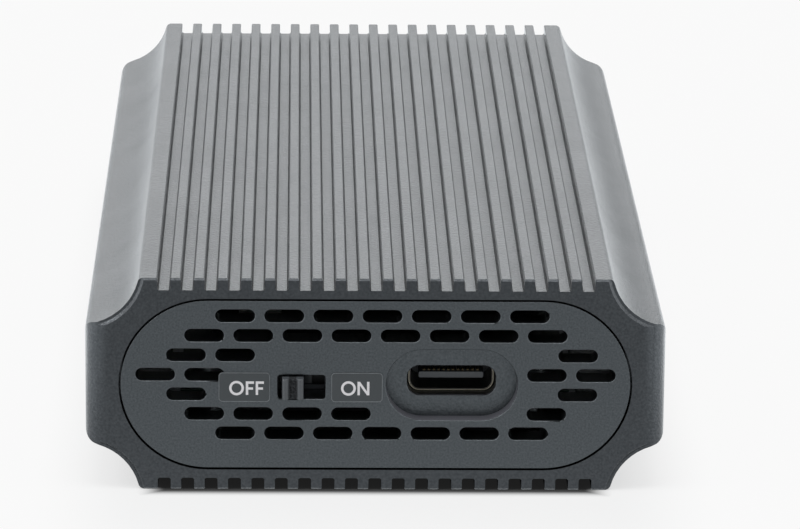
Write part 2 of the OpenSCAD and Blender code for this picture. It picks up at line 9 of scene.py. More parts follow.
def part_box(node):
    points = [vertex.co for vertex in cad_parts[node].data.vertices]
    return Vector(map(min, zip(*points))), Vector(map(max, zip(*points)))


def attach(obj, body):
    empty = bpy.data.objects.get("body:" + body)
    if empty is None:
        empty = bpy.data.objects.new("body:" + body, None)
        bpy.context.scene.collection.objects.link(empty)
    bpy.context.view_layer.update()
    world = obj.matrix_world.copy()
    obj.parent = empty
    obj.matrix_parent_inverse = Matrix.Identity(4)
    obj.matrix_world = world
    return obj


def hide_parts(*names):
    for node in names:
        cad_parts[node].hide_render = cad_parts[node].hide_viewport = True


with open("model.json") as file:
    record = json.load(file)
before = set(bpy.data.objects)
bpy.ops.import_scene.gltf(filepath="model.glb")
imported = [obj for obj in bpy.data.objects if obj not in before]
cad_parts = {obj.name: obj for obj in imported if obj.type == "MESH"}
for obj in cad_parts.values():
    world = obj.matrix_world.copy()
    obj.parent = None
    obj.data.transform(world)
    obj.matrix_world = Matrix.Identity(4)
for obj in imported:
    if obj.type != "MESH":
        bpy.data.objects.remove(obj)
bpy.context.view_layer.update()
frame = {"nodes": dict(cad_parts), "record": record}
nodes = frame["nodes"]
mm = 0.001
print("frame loaded:", len(nodes), "nodes")


# one sRGB hex colour as linear RGBA, by the curve of the sRGB standard
def toLinear(hexText):
    c = np.array([int(hexText[i:i + 2], 16) for i in (1, 3, 5)]) / 255
    lin = np.where(c <= 0.04045, c / 12.92, ((c + 0.055) / 1.055) ** 2.4)
    return (*[float(v) for v in lin], 1.0)


# adds a node, sets its properties and input values, and joins its inputs to the sockets in links
# values and links name an input by its name or its number
def addNode(tree, kind, settings=None, values=None, links=None):
    node = tree.nodes.new(kind)
    for key, value in (settings or {}).items():
        setattr(node, key, value)
    for key, value in (values or {}).items():
        node.inputs[key].default_value = value
    for key, source in (links or {}).items():
        tree.links.new(source, node.inputs[key])
    return node


def newMaterial(name):
    mat = bpy.data.materials.new(name)
    mat.use_nodes = True
    mat.node_tree.nodes.clear()
    return mat, mat.node_tree


def finishMaterial(tree, shader):
    addNode(tree, "ShaderNodeOutputMaterial", links={"Surface": shader.outputs[0]})


# a mesh object of the scene from arrays of vertices and faces
def newPiece(name, verts, faces, mat, body, smoothAngle=35):
    mesh = bpy.data.meshes.new(name)
    mesh.from_pydata(verts.tolist(), [], faces.tolist())
    mesh.validate()
    mesh.shade_smooth()
    mesh.set_sharp_from_angle(angle=math.radians(smoothAngle))
    mesh.materials.append(mat)
    obj = bpy.data.objects.new(name, mesh)
    bpy.context.scene.collection.objects.link(obj)
    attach(obj, body)


# camera at the photograph's own place, with its lens: angles in degrees, distance, target and sensor in mm
view = {"azimuth": -1.2058, "elevation": 15.6896, "roll": 0.5491, "distance": 518.47,
        "target": (2.3746, -57.0, 24.0574), "focalPixels": 5109.8, "photoWidth": 800, "sensor": 36,
        "clipMetres": (0.01, 50)}


# ahead looks along the azimuth and down by the elevation; right and up are square to it, turned by the roll
def makeCamera():
    az, el, ro = (math.radians(view[k]) for k in ("azimuth", "elevation", "roll"))
    ahead = np.array([-math.sin(az) * math.cos(el), math.cos(az) * math.cos(el), -math.sin(el)])
    right = np.array([math.cos(az), math.sin(az), 0.0])
    up = np.cross(right, ahead)
    right, up = (math.cos(ro) * right + math.sin(ro) * up, math.cos(ro) * up - math.sin(ro) * right)
    place = np.array(view["target"]) * mm - ahead * view["distance"] * mm
    data = bpy.data.cameras.new("photoCamera")
    data.sensor_width = view["sensor"]
    data.lens = view["focalPixels"] / view["photoWidth"] * view["sensor"]
    data.clip_start, data.clip_end = view["clipMetres"]
    cam = bpy.data.objects.new("photoCamera", data)
    bpy.context.scene.collection.objects.link(cam)
    turn = np.eye(4)
    turn[:3, 0], turn[:3, 1], turn[:3, 2], turn[:3, 3] = right, up, -ahead, place
    cam.matrix_world = Matrix(turn.tolist())
    bpy.context.scene.camera = cam


makeCamera()
print("camera placed")

# room: painted sweep, even sky, large softboxes behind, above and at both sides
# lengths in mm, levels as strengths where 1 is white, reaches from near to far outside the footprint
room = {
    # the sky's tint, which the sweep has in reflections too, and its level on matt faces and in reflections
    "cool": (0.94, 0.975, 1.0, 1.0), "ambient": 0.35, "glossySky": 1.05,
    "floorHalf": 3000.0, "floorColour": "#c8c8c8",
    # the body's stand: half width, half length and middle y, and how soft its edge is
    "footprint": (23.9, 57.0, 0.5), "footprintSoft": 0.3,
    # the sweep's lifted level, and the share of it that is lifted, beside the body and past the reach;
    # the smaller share beside the body shows its real shadow more and paints a shade round it
    "backdrop": 0.955, "lift": (0.7, 0.98), "liftReach": 60.0,
    # the painted contact shadow, a dark line that the body stands in: it fades out across its ends, and a
    # mm sideways counts as 5
    "contactShadowColour": "#363636", "contactShadowReach": (0.7, 2.8), "contactShadowEnds": (-2.5, 0.8), "sideStretch": 5,
    # painted light: a faint glow that the camera sees under the body
    "underGlow": 0.013,     # the share that is lifted under the body
    # painted reflections: in reflections the sweep glows palest close in front and, like two white cards,
    # at both flanks
    "frontLevel": (1.4, 1.05), "frontReach": (10.0, 70.0),
    "flankLevel": (1.0, 1.92), "flankReach": (20.0, 45.0),
}
# name: place, aim, width and height in metres, watts
softboxes = {
    "rearSoftbox": ((-0.07, 0.55, 0.3), (0, 0, 0.02), (0.6, 0.28), 0.93),
    "overheadSoftbox": ((0, -0.2, 0.8), (0, 0, 0), (0.45, 0.3), 2.5),
    "leftKey": ((-0.53, -0.19, 0.66), (0, 0, 0.01), (0.36, 0.36), 3.2),
    "rightKey": ((0.53, -0.19, 0.66), (0, 0, 0.01), (0.36, 0.36), 1.5),
    "leftSoftbox": ((-0.55, -0.1, 0.16), (0, 0, 0.01), (0.5, 0.3), 1.2),
    "rightSoftbox": ((0.55, -0.1, 0.16), (0, 0, 0.01), (0.5, 0.3), 1.0),
}


# even sky: white to the camera, a cool near white in reflections, and dim on matt faces
def makeWorld(scene):
    world = bpy.data.worlds.new("studio")
    scene.world = world
    world.use_nodes = True
    tree = world.node_tree
    tree.nodes.clear()
    path = addNode(tree, "ShaderNodeLightPath")
    seen = addNode(tree, "ShaderNodeMath", {"operation": "MAXIMUM"},
                   links={0: path.outputs["Is Camera Ray"], 1: path.outputs["Is Transmission Ray"]})
    level = addNode(tree, "ShaderNodeMix", {"data_type": "FLOAT"},
                    {2: room["ambient"], 3: room["glossySky"]}, {0: path.outputs["Is Glossy Ray"]})
    level = addNode(tree, "ShaderNodeMix", {"data_type": "FLOAT"}, {3: 1.0},
                    {0: seen.outputs[0], 2: level.outputs[0]})
    tone = addNode(tree, "ShaderNodeMix", {"data_type": "RGBA"}, {6: room["cool"], 7: (1, 1, 1, 1)},
                   {0: seen.outputs[0]})
    sky = addNode(tree, "ShaderNodeBackground",
                  links={"Color": tone.outputs[2], "Strength": level.outputs[0]})
    addNode(tree, "ShaderNodeOutputWorld", links={"Surface": sky.outputs[0]})
    world.cycles.sampling_method = "NONE"      # the sky is even, so reflections find it by themselves


# painted sweep, a matt pale grey: the camera sees it lifted towards white, more so away from the body, so
# that round the body it is darker, partly by its real shadow and partly by painted shade; in the line that
# the body stands in it stays paint of the colour of a painted contact shadow, and under the body a small
# share is lifted, a painted glow, so that the lower grooves are dark grey and not black, as in the photo
def sweepPaint():
    mat, tree = newMaterial("paintedSweep")
    halfX, halfY, midY = room["footprint"]
    path = addNode(tree, "ShaderNodeLightPath")
    camera, glossy = path.outputs["Is Camera Ray"], path.outputs["Is Glossy Ray"]
    coord = addNode(tree, "ShaderNodeTexCoord")
    # how far a spot lies outside the footprint: sideways, lengthways, and away from it with X stretched
    place = addNode(tree, "ShaderNodeVectorMath", {"operation": "SUBTRACT"}, {1: (0, midY * mm, 0)},
                    {0: coord.outputs["Object"]})
    place = addNode(tree, "ShaderNodeVectorMath", {"operation": "ABSOLUTE"}, links={0: place.outputs[0]})
    out = addNode(tree, "ShaderNodeVectorMath", {"operation": "SUBTRACT"}, {1: (halfX * mm, halfY * mm, 0)},
                  {0: place.outputs[0]})
    side = addNode(tree, "ShaderNodeSeparateXYZ", links={0: out.outputs[0]})
    beyond = addNode(tree, "ShaderNodeVectorMath", {"operation": "MAXIMUM"}, {1: (0, 0, 0)},
                     {0: out.outputs[0]})
    beyond = addNode(tree, "ShaderNodeVectorMath", {"operation": "MULTIPLY"},
                     {1: (room["sideStretch"], 1, 1)}, {0: beyond.outputs[0]})
    away = addNode(tree, "ShaderNodeVectorMath", {"operation": "LENGTH"}, links={0: beyond.outputs[0]})
    # 0 under the body and 1 outside its footprint
    most = addNode(tree, "ShaderNodeMath", {"operation": "MAXIMUM"},
                   links={0: side.outputs["X"], 1: side.outputs["Y"]})
    clear = addNode(tree, "ShaderNodeMapRange", None,
                    {"From Min": -room["footprintSoft"] * mm, "From Max": room["footprintSoft"] * mm},
                    {"Value": most.outputs[0]})
    # 0 in the painted contact shadow and 1 outside it
    near, far = room["contactShadowReach"]
    shadowFade = addNode(tree, "ShaderNodeMapRange", {"interpolation_type": "SMOOTHSTEP"},
                    {"From Min": near * mm, "From Max": far * mm}, {"Value": away.outputs["Value"]})
    inside, past = room["contactShadowEnds"]
    ends = addNode(tree, "ShaderNodeMapRange", {"interpolation_type": "SMOOTHSTEP"},
                   {"From Min": inside * mm, "From Max": past * mm}, {"Value": side.outputs["X"]})
    shadowFade = addNode(tree, "ShaderNodeMath", {"operation": "MAXIMUM"},
                    links={0: shadowFade.outputs[0], 1: ends.outputs[0]})
    # less is lifted beside the body: with its real shadow this paints a shade round it
    beside, farAway = room["lift"]
    lift = addNode(tree, "ShaderNodeMapRange", {"interpolation_type": "SMOOTHSTEP"},
                   {"From Max": room["liftReach"] * mm, "To Min": beside, "To Max": farAway},
                   {"Value": away.outputs["Value"]})
    # painted light: the faint glow under the body
    under = addNode(tree, "ShaderNodeMath", {"operation": "MULTIPLY"}, {1: room["underGlow"]}, {0: camera})
    # for the camera the lift stops at the painted contact shadow, in reflections it is whole,
    # and under the body it is small, a painted glow
    for operation, source in (("MULTIPLY", shadowFade.outputs[0]), ("MULTIPLY", camera), ("MAXIMUM", glossy),
                              ("MULTIPLY", clear.outputs[0]), ("MAXIMUM", under.outputs[0])):
        lift = addNode(tree, "ShaderNodeMath", {"operation": operation},
                       links={0: lift.outputs[0], 1: source})
    # in the line that the body stands in, the paint takes the colour of the painted contact shadow
    colour = addNode(tree, "ShaderNodeMix", {"data_type": "RGBA"},
                     {6: toLinear(room["contactShadowColour"]), 7: toLinear(room["floorColour"])},
                     {0: shadowFade.outputs[0]})
    paint = addNode(tree, "ShaderNodeBsdfDiffuse", links={"Color": colour.outputs[2]})
    # painted reflections: the sweep's glow in reflections is brighter close in front and at both flanks
    mirrored = []
    for part, distance in (("front", side.outputs["Y"]), ("flank", side.outputs["X"])):
        (near, far), (nearLevel, farLevel) = room[part + "Reach"], room[part + "Level"]
        mirrored.append(addNode(tree, "ShaderNodeMapRange", None,
                                {"From Min": near * mm, "From Max": far * mm,
                                 "To Min": nearLevel, "To Max": farLevel}, {"Value": distance}))
    both = addNode(tree, "ShaderNodeMath", {"operation": "MULTIPLY"},
                   links={0: mirrored[0].outputs[0], 1: mirrored[1].outputs[0]})
    level = addNode(tree, "ShaderNodeMix", {"data_type": "FLOAT"}, {2: room["backdrop"]},
                    {0: glossy, 3: both.outputs[0]})
    tone = addNode(tree, "ShaderNodeMix", {"data_type": "RGBA"}, {6: (1, 1, 1, 1), 7: room["cool"]},
                   {0: glossy})
    glow = addNode(tree, "ShaderNodeEmission",
                   links={"Color": tone.outputs[2], "Strength": level.outputs[0]})
    sweep = addNode(tree, "ShaderNodeMixShader",
                    links={0: lift.outputs[0], 1: paint.outputs[0], 2: glow.outputs[0]})
    finishMaterial(tree, sweep)
    mat.cycles.emission_sampling = "NONE"      # the lift is for the eye, it lights nothing
    return mat


# the floor with its paint, and the softboxes, each turned to its aim
def makeRoom():
    scene = bpy.context.scene
    scene.view_settings.view_transform = "Standard"
    makeWorld(scene)
    half = room["floorHalf"] * mm
    mesh = bpy.data.meshes.new("floor")
    corners = [(-half, -half, 0), (half, -half, 0), (half, half, 0), (-half, half, 0)]
    mesh.from_pydata(corners, [], [(0, 1, 2, 3)])
    mesh.materials.append(sweepPaint())
    floor = bpy.data.objects.new("floor", mesh)
    scene.collection.objects.link(floor)
    for name, (place, aim, size, power) in softboxes.items():
        data = bpy.data.lights.new(name, "AREA")
        data.shape = "RECTANGLE"
        data.size, data.size_y = size
        data.energy = power
        obj = bpy.data.objects.new(name, data)
        scene.collection.objects.link(obj)
        obj.location = place
        obj.rotation_euler = (Vector(aim) - Vector(place)).to_track_quat("-Z", "Y").to_euler()


makeRoom()
print("room lit")

# anodised aluminium, bead blasted and dyed dark grey: near black head on, pale and silky at a grazing angle
# the blasting's pits and the cutter's lines are finer than a pixel on the real one, and are drawn coarser
# grit, cloud and line are widths in mm, lineDepth is a share of gritDepth, smooth to rough the roughness
# millGrit is the share of grit left on cut faces, wallShine scales the roughness of the bore's walls,
# and upGrit deepens the grit on faces that look up or down
tubeFinish = {"dark": "#343638", "light": "#404244", "smooth": 0.30, "rough": 0.34,
              "grit": 0.26, "gritDepth": 0.045, "cloud": 9.0, "line": 0.16, "lineDepth": 0.3,
              "millGrit": 0.25, "wallShine": 0.4, "upGrit": 1.6}
plateFinish = {"dark": "#3c3f41", "light": "#4a4d4f", "smooth": 0.34, "rough": 0.38,
               "grit": 0.2, "gritDepth": 0.03, "cloud": 7.0, "line": 0.2, "lineDepth": 0.1,
               "millGrit": 1.0, "wallShine": 1.0, "upGrit": 1.0,
               "recess": {"middle": (7.8, -56.0, 11.25), "half": (6.95, 1.1, 3.95), "colour": "#5c5c62",
                          "metallic": 0.5, "roughness": 0.5}}
# what both share: from 0 to 1, how much a face looks along an axis to count as square, edge on or rising,
# the part of the noise that is used, the length of a line in widths, and half the bore's width in mm
cutting = {"square": 0.95, "edgeOn": 0.3, "rising": (0.2, 0.5), "noise": (0.3, 0.7), "lineLength": 25,
           "boreHalf": 27.0}


def anodised(name, finish):
    mat, tree = newMaterial(name)
    low, high = cutting["noise"]
    coord = addNode(tree, "ShaderNodeTexCoord")
    grit = addNode(tree, "ShaderNodeTexNoise", None,
                   {"Scale": 1 / (finish["grit"] * mm), "Detail": 2.0, "Roughness": 0.6},
                   {"Vector": coord.outputs["Object"]})
    cloud = addNode(tree, "ShaderNodeTexNoise", None,
                    {"Scale": 1 / (finish["cloud"] * mm), "Detail": 3.0, "Roughness": 0.55},
                    {"Vector": coord.outputs["Object"]})
    speckle = addNode(tree, "ShaderNodeMapRange", None, {"From Min": low, "From Max": high},
                      {"Value": grit.outputs["Fac"]})
    tint = addNode(tree, "ShaderNodeMix", {"data_type": "RGBA"},
                   {6: toLinear(finish["dark"]), 7: toLinear(finish["light"])}, {0: speckle.outputs[0]})
    sheen = addNode(tree, "ShaderNodeMapRange", None,
                    {"From Min": low, "From Max": high,
                     "To Min": finish["smooth"], "To Max": finish["rough"]},
                    {"Value": cloud.outputs["Fac"]})
    # how squarely a face looks along X, Y and Z, and how far a spot lies from the middle
    surface = addNode(tree, "ShaderNodeNewGeometry")
    square = addNode(tree, "ShaderNodeVectorMath", {"operation": "ABSOLUTE"},
                     links={0: surface.outputs["True Normal"]})
    looks = addNode(tree, "ShaderNodeSeparateXYZ", links={0: square.outputs[0]})
    away = addNode(tree, "ShaderNodeVectorMath", {"operation": "ABSOLUTE"},
                   links={0: coord.outputs["Object"]})
    away = addNode(tree, "ShaderNodeSeparateXYZ", links={0: away.outputs[0]})
    # end-mill lines: fine bands across the faces that look along Y
    endFace = addNode(tree, "ShaderNodeMath", {"operation": "GREATER_THAN"}, {1: cutting["square"]},
                      {0: looks.outputs["Y"]})
    squash = addNode(tree, "ShaderNodeMapping", None, {"Scale": (1 / cutting["lineLength"], 1, 1)},
                     {"Vector": coord.outputs["Object"]})
    lines = addNode(tree, "ShaderNodeTexNoise", None, {"Scale": 1 / (finish["line"] * mm), "Detail": 2.0},
                    {"Vector": squash.outputs[0]})
    lines = addNode(tree, "ShaderNodeMath", {"operation": "MULTIPLY"},
                    links={0: lines.outputs["Fac"], 1: endFace.outputs[0]})
    lines = addNode(tree, "ShaderNodeMath", {"operation": "MULTIPLY"}, {1: finish["lineDepth"]},
                    {0: lines.outputs[0]})
    # the upright walls inside the bore are drawn, glossier and with less grit
    upright = addNode(tree, "ShaderNodeMath", {"operation": "GREATER_THAN"}, {1: cutting["square"]},
                      {0: looks.outputs["X"]})
    inner = addNode(tree, "ShaderNodeMath", {"operation": "LESS_THAN"}, {1: cutting["boreHalf"] * mm},
                    {0: away.outputs["X"]})
    wall = addNode(tree, "ShaderNodeMath", {"operation": "MULTIPLY"},
                   links={0: upright.outputs[0], 1: inner.outputs[0]})
    drawn = addNode(tree, "ShaderNodeMapRange", None, {"To Min": 1.0, "To Max": finish["wallShine"]},
                    {"Value": wall.outputs[0]})
    sheen = addNode(tree, "ShaderNodeMath", {"operation": "MULTIPLY"},
                    links={0: sheen.outputs[0], 1: drawn.outputs[0]})
    cut = addNode(tree, "ShaderNodeMath", {"operation": "MAXIMUM"},
                  links={0: endFace.outputs[0], 1: wall.outputs[0]})
    blasted = addNode(tree, "ShaderNodeMapRange", None, {"To Min": 1.0, "To Max": finish["millGrit"]},
                      {"Value": cut.outputs[0]})
    # deeper blasting on the faces that look up or down
    steep, flat = cutting["rising"]
    rising = addNode(tree, "ShaderNodeMapRange", None,
                     {"From Min": steep, "From Max": flat, "To Min": 1.0, "To Max": finish["upGrit"]},
                     {"Value": looks.outputs["Z"]})
    blasted = addNode(tree, "ShaderNodeMath", {"operation": "MULTIPLY"},
                      links={0: blasted.outputs[0], 1: rising.outputs[0]})
    height = addNode(tree, "ShaderNodeMath", {"operation": "MULTIPLY_ADD"},
                     links={0: grit.outputs["Fac"], 1: blasted.outputs[0], 2: lines.outputs[0]})
    bump = addNode(tree, "ShaderNodeBump", None, {"Strength": 1.0, "Distance": finish["gritDepth"] * mm},
                   {"Height": height.outputs[0]})
    shader = addNode(tree, "ShaderNodeBsdfPrincipled", None, {"Metallic": 1.0},
                     {"Base Color": tint.outputs[2], "Roughness": sheen.outputs[0],
                      "Normal": bump.outputs[0]})
    if "recess" in finish:
        # the wall round the port's recess is drawn paler and duller than the dyed faces, and half metallic
        recess = finish["recess"]
        off = addNode(tree, "ShaderNodeVectorMath", {"operation": "SUBTRACT"},
                      {1: [c * mm for c in recess["middle"]]}, {0: coord.outputs["Object"]})
        off = addNode(tree, "ShaderNodeVectorMath", {"operation": "ABSOLUTE"}, links={0: off.outputs[0]})
        off = addNode(tree, "ShaderNodeVectorMath", {"operation": "SUBTRACT"},
                      {1: [c * mm for c in recess["half"]]}, {0: off.outputs[0]})
        far = addNode(tree, "ShaderNodeSeparateXYZ", links={0: off.outputs[0]})
        most = far.outputs["X"]
        for axis in ("Y", "Z"):
            most = addNode(tree, "ShaderNodeMath", {"operation": "MAXIMUM"},
                           links={0: most, 1: far.outputs[axis]}).outputs[0]
        within = addNode(tree, "ShaderNodeMath", {"operation": "LESS_THAN"}, {1: 0.0}, {0: most})
        sideways = addNode(tree, "ShaderNodeMath", {"operation": "LESS_THAN"}, {1: cutting["edgeOn"]},
                           {0: looks.outputs["Y"]})
        recessWall = addNode(tree, "ShaderNodeMath", {"operation": "MULTIPLY"},
                       links={0: within.outputs[0], 1: sideways.outputs[0]})
        paleWall = addNode(tree, "ShaderNodeBsdfPrincipled", None,
                        {"Metallic": recess["metallic"], "Roughness": recess["roughness"],
                         "Base Color": toLinear(recess["colour"])}, {"Normal": bump.outputs[0]})
        shader = addNode(tree, "ShaderNodeMixShader",
                         links={0: recessWall.outputs[0], 1: shader.outputs[0], 2: paleWall.outputs[0]})
    finishMaterial(tree, shader)
    return mat


# a plain finish: a fine grain mixes two near colours, varies the roughness and stands out a little
def fineGrain(name, dark, light, roughness, metallic, grain, strength, depth=0.01, spread=0.06):
    mat, tree = newMaterial(name)
    coord = addNode(tree, "ShaderNodeTexCoord")
    noise = addNode(tree, "ShaderNodeTexNoise", None, {"Scale": 1 / (grain * mm), "Detail": 3.0},
                    {"Vector": coord.outputs["Object"]})
    tint = addNode(tree, "ShaderNodeMix", {"data_type": "RGBA"}, {6: toLinear(dark), 7: toLinear(light)},
                   {0: noise.outputs["Fac"]})
    sheen = addNode(tree, "ShaderNodeMapRange", None,
                    {"To Min": roughness - spread, "To Max": roughness + spread},
                    {"Value": noise.outputs["Fac"]})
    rise = addNode(tree, "ShaderNodeBump", None, {"Strength": strength, "Distance": depth * mm},
                   {"Height": noise.outputs["Fac"]})
    shader = addNode(tree, "ShaderNodeBsdfPrincipled", None, {"Metallic": metallic},
                     {"Base Color": tint.outputs[2], "Roughness": sheen.outputs[0],
                      "Normal": rise.outputs[0]})
    finishMaterial(tree, shader)
    return mat


# slot: material, its two colours, roughness, metallic, width of the grain in mm, strength of its relief
# the grains are wider than the real ones, so that they show
plainFinishes = {
    "label_film": ("matPolyesterFilm", "#303335", "#363a3c", 0.42, 0.35, 0.15, 0.1),  # satin, bluish
    "black_plastic": ("blackGlassFilledPolymer", "#2a2b2e", "#343538", 0.5, 0.0, 0.12, 0.3),  # matt, grainy
    "tinned_sheet": ("tinPlatedSteelSheet", "#b4b6b6", "#c6c8c8", 0.3, 1.0, 0.6, 0.1),  # silvery gloss
    # painted shade: the nickel is drawn dark, as the shell lies deep in its hole
    "port_steel": ("shadedNickelPlatedSteel", "#3e3c39", "#4a4844", 0.36, 1.0, 0.4, 0.1),  # dark warm gloss
    # painted shade: the gold is drawn dim, as the contacts lie in the port's shade
    "gold_contact": ("shadedGoldPlatedContact", "#8a7858", "#9c8a68", 0.25, 1.0, 0.3, 0.1),  # a dull gold glint
    "black_screw": ("blackOxideSteel", "#2c2d2f", "#36383a", 0.38, 1.0, 0.3, 0.2),  # oily near black
    "bright_screw": ("zincPlatedSteel", "#b4b8ba", "#c8cacc", 0.3, 1.0, 0.3, 0.2),  # bluish silver gloss
    "bare_aluminium": ("milledAluminium", "#a4a7a9", "#b4b7b9", 0.38, 1.0, 0.5, 0.2),  # soft pale gloss
    "board_laminate": ("solderMaskedLaminate", "#12281f", "#183226", 0.36, 0.0, 0.4, 0.2),  # glossy green
    "chip_resin": ("mouldedEpoxy", "#1a1b1d", "#242527", 0.55, 0.0, 0.1, 0.3),  # matt black
    "ferrite": ("pressedFerrite", "#3c3d3f", "#48494b", 0.6, 0.0, 0.15, 0.4),  # dull dark grey
    "brass_post": ("turnedBrass", "#b4924a", "#c4a25a", 0.3, 1.0, 0.3, 0.2),  # yellow gloss
    "pad_rubber": ("siliconePad", "#808a98", "#8c96a4", 0.7, 0.0, 0.5, 0.4),  # chalky blue grey
    "fan_plastic": ("mouldedPolyester", "#202124", "#2a2b2e", 0.5, 0.0, 0.2, 0.3),  # matt black
    "copper_winding": ("enamelledCopper", "#8c4e20", "#a8622c", 0.35, 1.0, 0.25, 0.6),  # ridged red brown
    "wire_sleeve": ("wireInsulation", "#801c20", "#942428", 0.45, 0.0, 0.3, 0.1),  # waxy dark red
    "white_plastic": ("whiteNylon", "#d8d6ce", "#e2e0d8", 0.5, 0.0, 0.3, 0.15),  # waxy warm white
}
finishes = {slot: fineGrain(*recipe) for slot, recipe in plainFinishes.items()}
finishes["anodised_tube"] = anodised("anodisedAluminiumTube", tubeFinish)
finishes["anodised_plate"] = anodised("anodisedAluminiumPlate", plateFinish)

# the knob's moulded nylon: two pale ridges, a painted sheen, with a soft gloss, and a dark, pitted, matt
# valley between, a painted shade; lengths in mm; roughness and specular are first for the valley, then for
# the ridges, and the valley's low specular paints shade too
knobFinish = {"middle": -8.45, "valley": 0.42, "valleyEdge": (0.8, 1.15), "grain": 0.12, "pit": 0.22,
              "pitNoise": (0.4, 0.65), "ridgeSheenDark": "#2e3134", "ridgeSheenLight": "#46494c",
              "valleyShadeDark": "#0c0d0e", "valleyShadeLight": "#3a3c3e",
              "roughness": (0.75, 0.42), "specular": (0.1, 0.5), "relief": 0.5, "reliefDepth": 0.02}


def knobNylon(name, finish):
    mat, tree = newMaterial(name)
    coord = addNode(tree, "ShaderNodeTexCoord")
    grain = addNode(tree, "ShaderNodeTexNoise", None, {"Scale": 1 / (finish["grain"] * mm), "Detail": 3.0},
                    {"Vector": coord.outputs["Object"]})
    coarse = addNode(tree, "ShaderNodeTexNoise", None, {"Scale": 1 / (finish["pit"] * mm), "Detail": 2.0},
                     {"Vector": coord.outputs["Object"]})
    # 0 in the valley and 1 on the ridges
    place = addNode(tree, "ShaderNodeSeparateXYZ", links={0: coord.outputs["Object"]})
    off = addNode(tree, "ShaderNodeMath", {"operation": "SUBTRACT"}, {1: finish["middle"] * mm},
                  {0: place.outputs["X"]})
    off = addNode(tree, "ShaderNodeMath", {"operation": "ABSOLUTE"}, links={0: off.outputs[0]})
    start, end = (finish["valley"] * mm * edge for edge in finish["valleyEdge"])
    ridge = addNode(tree, "ShaderNodeMapRange", None, {"From Min": start, "From Max": end},
                    {"Value": off.outputs[0]})
    # painted sheen: the ridges' two pale greys
    ridgeSheen = addNode(tree, "ShaderNodeMix", {"data_type": "RGBA"},
                   {6: toLinear(finish["ridgeSheenDark"]), 7: toLinear(finish["ridgeSheenLight"])},
                   {0: grain.outputs["Fac"]})
    low, high = finish["pitNoise"]
    pits = addNode(tree, "ShaderNodeMapRange", None, {"From Min": low, "From Max": high},
                   {"Value": coarse.outputs["Fac"]})
    # painted shade: the valley's dark greys, mottled by the pits
    valleyShade = addNode(tree, "ShaderNodeMix", {"data_type": "RGBA"},
                     {6: toLinear(finish["valleyShadeDark"]), 7: toLinear(finish["valleyShadeLight"])},
                     {0: pits.outputs[0]})
    tint = addNode(tree, "ShaderNodeMix", {"data_type": "RGBA"},
                   links={0: ridge.outputs[0], 6: valleyShade.outputs[2], 7: ridgeSheen.outputs[2]})
    gloss = {}
    for key in ("roughness", "specular"):
        inValley, onRidge = finish[key]
        gloss[key] = addNode(tree, "ShaderNodeMapRange", None, {"To Min": inValley, "To Max": onRidge},
                             {"Value": ridge.outputs[0]}).outputs[0]
    rise = addNode(tree, "ShaderNodeBump", None,
                   {"Strength": finish["relief"], "Distance": finish["reliefDepth"] * mm},
                   {"Height": grain.outputs["Fac"]})
    shader = addNode(tree, "ShaderNodeBsdfPrincipled",
                     links={"Base Color": tint.outputs[2], "Roughness": gloss["roughness"],
                            "Normal": rise.outputs[0], "Specular IOR Level": gloss["specular"]})
    finishMaterial(tree, shader)
    return mat


finishes["knob_plastic"] = knobNylon("mouldedNylonKnob", knobFinish)
print("finishes ready:", len(finishes))

# CAD nodes in their finishes: node: (slot, bevel in mm, or 0 for none)
dressed = {
    "shell": ("anodised_tube", 0.0), "front_plate": ("anodised_plate", 0.11),
    "rear_plate": ("anodised_plate", 0.11), "off_label": ("label_film", 0.02),
    "on_label": ("label_film", 0.02), "switch_knob": ("knob_plastic", 0.06),
    # the switch's metal frame is given black oxide: painted shade for the dark behind the knob's window
    "switch_frame": ("black_screw", 0.04), "switch_base": ("black_plastic", 0.06),
    "switch_terminals": ("tinned_sheet", 0.0), "usb_shell": ("port_steel", 0.05),
    "usb_tongue": ("black_plastic", 0.05), "usb_contacts": ("gold_contact", 0.0),
    "rear_screws": ("black_screw", 0.05), "carrier": ("bare_aluminium", 0.08),
    "front_screws": ("black_screw", 0.04), "main_board": ("board_laminate", 0.0),
    "board_screws": ("bright_screw", 0.05), "bridge_chip": ("chip_resin", 0.05),
    "board_parts": ("chip_resin", 0.04), "board_inductors": ("ferrite", 0.1),
    "drive_socket": ("black_plastic", 0.05), "socket_contacts": ("gold_contact", 0.0),
    "drive_post": ("brass_post", 0.05), "drive_screw": ("bright_screw", 0.05),
    "thermal_pad": ("pad_rubber", 0.1), "fan_frame": ("fan_plastic", 0.08),
    "fan_cover": ("fan_plastic", 0.08), "fan_impeller": ("fan_plastic", 0.0),
    "fan_shaft": ("bright_screw", 0.05), "fan_magnet": ("ferrite", 0.05),
    "fan_stator": ("copper_winding", 0.2), "fan_bearing": ("brass_post", 0.04),
    "fan_screws": ("bright_screw", 0.05), "fan_lead": ("wire_sleeve", 0.0),
    "fan_plug": ("white_plastic", 0.06), "fan_header": ("white_plastic", 0.06),
}
# the tongue shows in the port's mouth, so it has its own finish: a glass-filled plastic, smoother and drawn
# greyer than the other black plastic, a painted light on it
ownFinish = {"usb_tongue": fineGrain("glassFilledTonguePaintedLight", "#2e3134", "#3a3d40", 0.4, 0.0, 0.2, 0.2)}
# merge distance in mm, and in degrees the bend that still counts as flat and the turn that makes an edge
skin = {"merge": 0.002, "flat": 0.4, "edge": 32, "segments": 2}
# a plate's rim, where a small share of the bevel keeps the seam narrow: what lies further than radius from
# the plate's middle line, which goes out by straight to each side at the height centre, all in mm
plateRim = {"straight": 17.15, "centre": 11.25, "radius": 8.5, "ease": 0.3}


